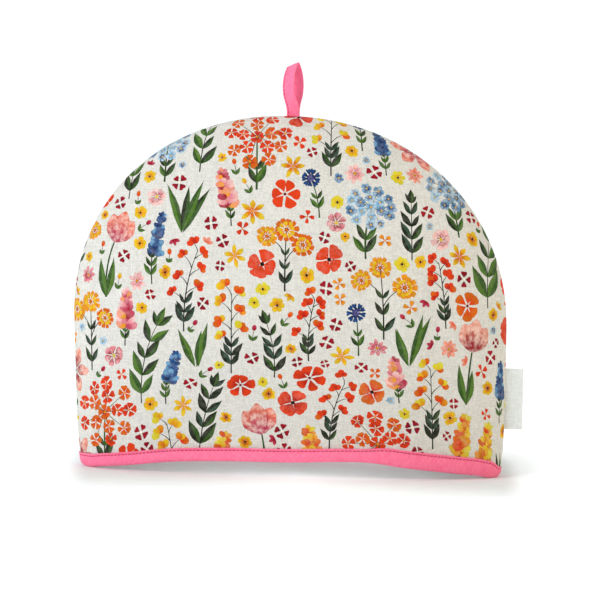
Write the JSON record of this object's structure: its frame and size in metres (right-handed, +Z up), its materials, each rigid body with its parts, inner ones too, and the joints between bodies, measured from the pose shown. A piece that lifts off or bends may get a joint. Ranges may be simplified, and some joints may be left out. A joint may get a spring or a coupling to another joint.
{
  "type": "tea cosy",
  "caption": "Padded dome tea cosy in floral print cotton, with a pink bound hem, a tape hanging loop and a bare side label.",
  "frame": {"origin": "on the table, under the middle of the whole object", "axes": "+X to the right as seen from the front, -Y towards the viewer, +Z up"},
  "size_m": [0.3498, 0.124, 0.3177],
  "materials": {
    "print_cotton": "matte",
    "pink_tape": "matte",
    "label_ribbon": "satin"
  },
  "bodies": {
    "root": {"front_panel": "print_cotton", "back_panel": "print_cotton", "hem_binding": "pink_tape", "hanging_loop": "pink_tape", "side_label": "label_ribbon"}
  },
  "joints": []
}
